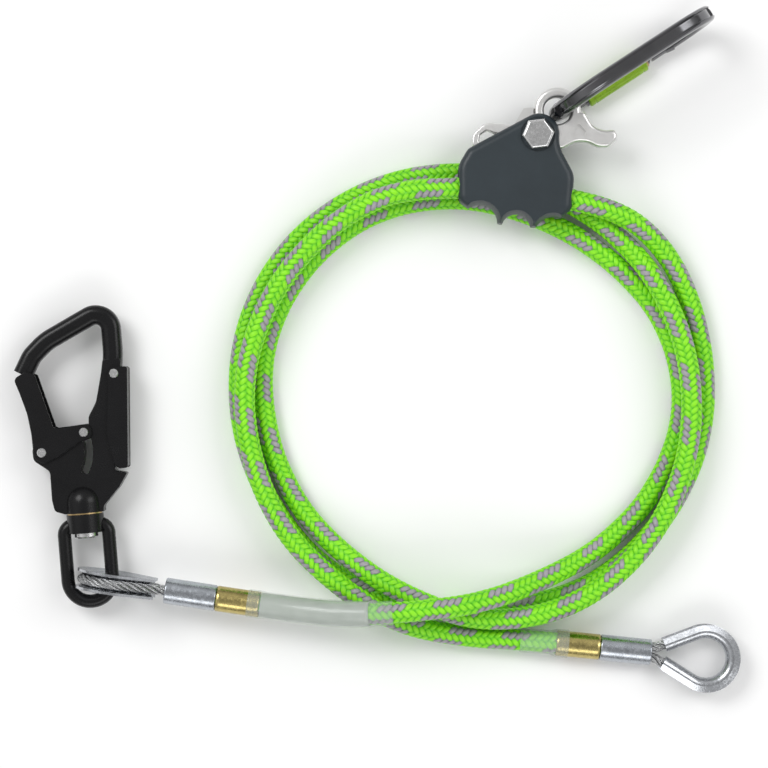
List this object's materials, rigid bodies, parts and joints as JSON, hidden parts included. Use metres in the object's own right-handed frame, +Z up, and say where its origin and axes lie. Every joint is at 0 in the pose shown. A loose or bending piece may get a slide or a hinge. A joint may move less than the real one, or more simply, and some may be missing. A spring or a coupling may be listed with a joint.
{
  "type": "rope grab lanyard",
  "caption": "Work-positioning lanyard: a coiled wire-core braided rope with eyes, a cam rope grab with a locking carabiner, and a swivel snap hook.",
  "frame": {"origin": "on the floor, under the middle of the box round the hardware (snap hook, grab and carabiner)", "axes": "+Z up from the floor; +X towards the coil's right side; +Y towards the grab"},
  "size_m": [0.4317, 0.4052, 0.0593],
  "materials": {
    "green_braid": "woven polyester cover, neon green with a grey tracer",
    "wire_rope": "galvanised wire strands",
    "brass": "drawn brass, satin",
    "label_film": "printed film, no text",
    "clear_shrink": "clear heat shrink, glossy",
    "zinc_sheet": "galvanised sheet",
    "swage_metal": "pressed, satin",
    "shell_paint": "dark slate satin coating",
    "cast_steel": "bright investment-cast steel",
    "plated_steel": "zinc plated",
    "spring_steel": "drawn wire",
    "bronze": "sintered bronze",
    "gunmetal": "polished dark plating",
    "green_anodised": "satin anodised",
    "black_steel": "satin black coating"
  },
  "bodies": {
    "rope_line": {"rope_cover_1": "green_braid", "rope_cover_2": "green_braid", "rope_cover_3": "green_braid", "rope_cover_4": "green_braid", "rope_cover_5": "green_braid", "rope_cover_6": "green_braid", "wire_core_1": "wire_rope", "wire_core_2": "wire_rope", "wire_core_3": "wire_rope", "wire_core_4": "wire_rope", "wire_core_5": "wire_rope", "wire_core_6": "wire_rope", "crimp_sleeve_left": "brass", "crimp_sleeve_right": "brass", "label_sleeve": "label_film", "heat_shrink_left": "clear_shrink", "heat_shrink_right": "clear_shrink", "wire_eye_left": "wire_rope", "wire_eye_right": "wire_rope", "thimble_left": "zinc_sheet", "thimble_right": "zinc_sheet", "swage_sleeve_left": "swage_metal", "swage_sleeve_right": "swage_metal"},
    "grab": {"grab_shell": "shell_paint", "grab_bolt": "plated_steel", "bolt_washer": "plated_steel", "lock_nut": "plated_steel", "pivot_bushing": "bronze"},
    "cam": {"cam_lever": "cast_steel", "cam_spring": "spring_steel"},
    "carabiner": {"carabiner_body": "gunmetal", "carabiner_gate_pin": "plated_steel"},
    "gate": {"carabiner_gate": "gunmetal", "gate_plunger": "plated_steel", "gate_plunger_spring": "spring_steel", "gate_collar": "gunmetal"},
    "sleeve_bush": {"sleeve_bush": "bronze"},
    "sleeve": {"locking_sleeve": "green_anodised"},
    "swivel": {"swivel_eye": "black_steel"},
    "hook": {"hook_body": "black_steel", "swivel_stem": "plated_steel", "thrust_washer": "bronze", "gate_rivet": "plated_steel", "lever_rivet": "plated_steel", "hook_gate_spring": "spring_steel"},
    "hook_gate": {"hook_gate": "black_steel", "foot_pin": "plated_steel"},
    "lock_lever": {"lock_lever": "black_steel"}
  },
  "joints": [
    {"name": "grab_slide", "type": "slide", "parent": "rope_line", "child": "grab", "axis": [0.9956, -0.0936, 0], "range_m": [-0.004, 0.004]},
    {"name": "cam_hinge", "type": "hinge", "parent": "grab", "child": "cam", "pos_m": [0.10325, 0.10268, 0.024], "axis": [0, 0, 1], "range_deg": [-12, 20], "stiffness_Nm_per_rad": 0.15},
    {"name": "carabiner_swing", "type": "hinge", "parent": "cam", "child": "carabiner", "pos_m": [0.11515, 0.11602, 0.024], "axis": [0, 0, 1], "range_deg": [-24, 35]},
    {"name": "carabiner_gate_hinge", "type": "hinge", "parent": "carabiner", "child": "gate", "pos_m": [0.12898, 0.12503, 0.0072], "axis": [0.5461, -0.8377, 0], "range_deg": [0, 22], "stiffness_Nm_per_rad": 0.15, "springref_deg": -20.05},
    {"name": "sleeve_advance", "type": "slide", "parent": "gate", "child": "sleeve_bush", "axis": [0.8377, 0.5461, 0], "range_m": [0, 0.008]},
    {"name": "sleeve_turn", "type": "hinge", "parent": "sleeve_bush", "child": "sleeve", "pos_m": [0.12898, 0.12503, 0.0072], "axis": [0.8377, 0.5461, 0], "range_deg": [0, 360]},
    {"name": "eye_swing", "type": "hinge", "parent": "rope_line", "child": "swivel", "pos_m": [-0.14861, -0.16017, 0.014], "axis": [0, 0, 1], "range_deg": [-3, 25]},
    {"name": "hook_swivel", "type": "hinge", "parent": "swivel", "child": "hook", "pos_m": [-0.16498, -0.12136, 0.014], "axis": [-0.0802, 0.9968, 0], "continuous": true},
    {"name": "hook_gate_hinge", "type": "hinge", "parent": "hook", "child": "hook_gate", "pos_m": [-0.18979, -0.08473, 0.014], "axis": [0, 0, 1], "range_deg": [-38, 0], "stiffness_Nm_per_rad": 0.15, "springref_deg": 20.05},
    {"name": "lock_lever_hinge", "type": "hinge", "parent": "hook", "child": "lock_lever", "pos_m": [-0.14712, -0.03776, 0.014], "axis": [0, 0, 1], "range_deg": [-3.5, 0], "stiffness_Nm_per_rad": 0.15, "springref_deg": 5.73}
  ],
  "couplings": [
    {"joint": "sleeve_turn", "follows": "sleeve_advance", "rad_per_m": 785.4}
  ]
}
